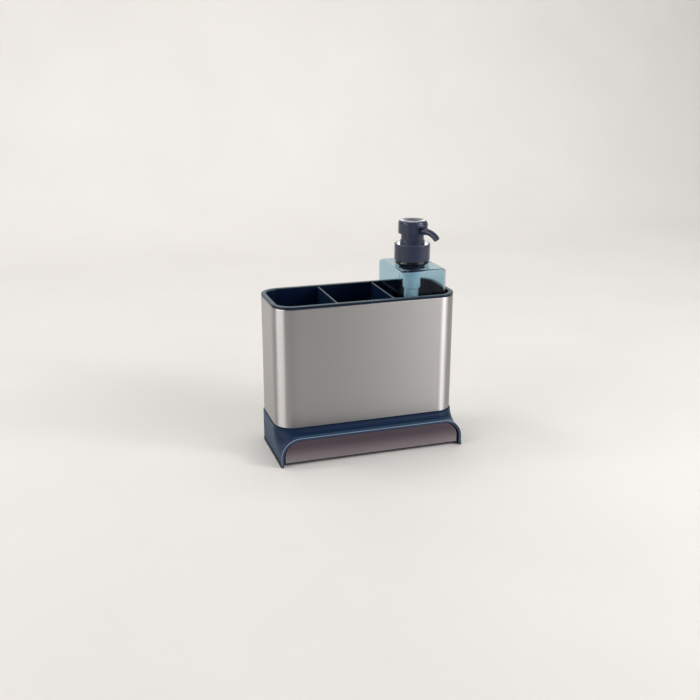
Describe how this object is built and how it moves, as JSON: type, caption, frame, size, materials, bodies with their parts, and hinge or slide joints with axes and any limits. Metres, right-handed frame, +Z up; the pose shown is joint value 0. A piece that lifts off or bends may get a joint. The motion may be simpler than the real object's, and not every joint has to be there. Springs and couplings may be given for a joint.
{
  "type": "sink caddy with soap dispenser",
  "caption": "Brushed steel sink caddy with a divided bin, a hooded base with a pull-out drip tray, and a clear pump bottle in one compartment.",
  "frame": {"origin": "centre of the footprint, on the counter", "axes": "+X to the right, +Y to the back, +Z up; the hood and tray face -Y"},
  "size_m": [0.1934, 0.097, 0.2286],
  "materials": {
    "brushed_steel": "brushed along the width",
    "navy_plastic": "satin moulding",
    "slate_plastic": "gloss moulding",
    "foot_rubber": "matt",
    "clear_blue": "clear, tinted light blue",
    "cloudy_blue": "cloudy, tinted light blue",
    "white_plastic": "smooth",
    "polished_steel": "polished"
  },
  "bodies": {
    "stand": {"base_shell": "navy_plastic", "foot_left": "foot_rubber", "foot_right": "foot_rubber", "foot_rear": "foot_rubber", "steel_sleeve": "brushed_steel"},
    "bin": {"insert_bin": "navy_plastic"},
    "tray": {"drip_tray": "navy_plastic", "tray_front_plate": "brushed_steel"},
    "bottle_body": {"bottle": "clear_blue"},
    "pump_body": {"neck_gasket": "white_plastic", "lock_ring": "slate_plastic", "pump_housing": "cloudy_blue", "inlet_ball": "polished_steel", "dip_tube": "cloudy_blue"},
    "collar": {"closure_collar": "slate_plastic"},
    "spring": {"return_spring": "polished_steel"},
    "head": {"stem": "white_plastic", "piston": "white_plastic", "outlet_ball": "polished_steel", "actuator": "slate_plastic", "head_cover": "slate_plastic"}
  },
  "joints": [
    {"name": "bin_lift", "type": "slide", "parent": "stand", "child": "bin", "axis": [0, 0, 1], "range_m": [0, 0.13]},
    {"name": "tray_slide", "type": "slide", "parent": "stand", "child": "tray", "axis": [0, -1, 0], "range_m": [0, 0.07]},
    {"name": "bottle_lift", "type": "slide", "parent": "bin", "child": "bottle_body", "axis": [0, 0, 1], "range_m": [0, 0.13]},
    {"name": "pump_rise", "type": "slide", "parent": "bottle_body", "child": "pump_body", "axis": [0, 0, 1], "range_m": [0, 0.0045]},
    {"name": "collar_turn", "type": "hinge", "parent": "pump_body", "child": "collar", "pos_m": [0.05865, 0.0075, 0.195], "axis": [0, 0, 1], "range_deg": [0, 540]},
    {"name": "head_turn", "type": "hinge", "parent": "pump_body", "child": "spring", "pos_m": [0.05865, 0.0075, 0.218], "axis": [0, 0, 1], "continuous": true},
    {"name": "head_press", "type": "slide", "parent": "spring", "child": "head", "axis": [0, 0, -1], "range_m": [0, 0.006], "stiffness_N_per_m": 900, "deforming": ["return_spring"]}
  ],
  "couplings": [
    {"joint": "collar_turn", "follows": "pump_rise", "rad_per_m": 2094.4}
  ]
}
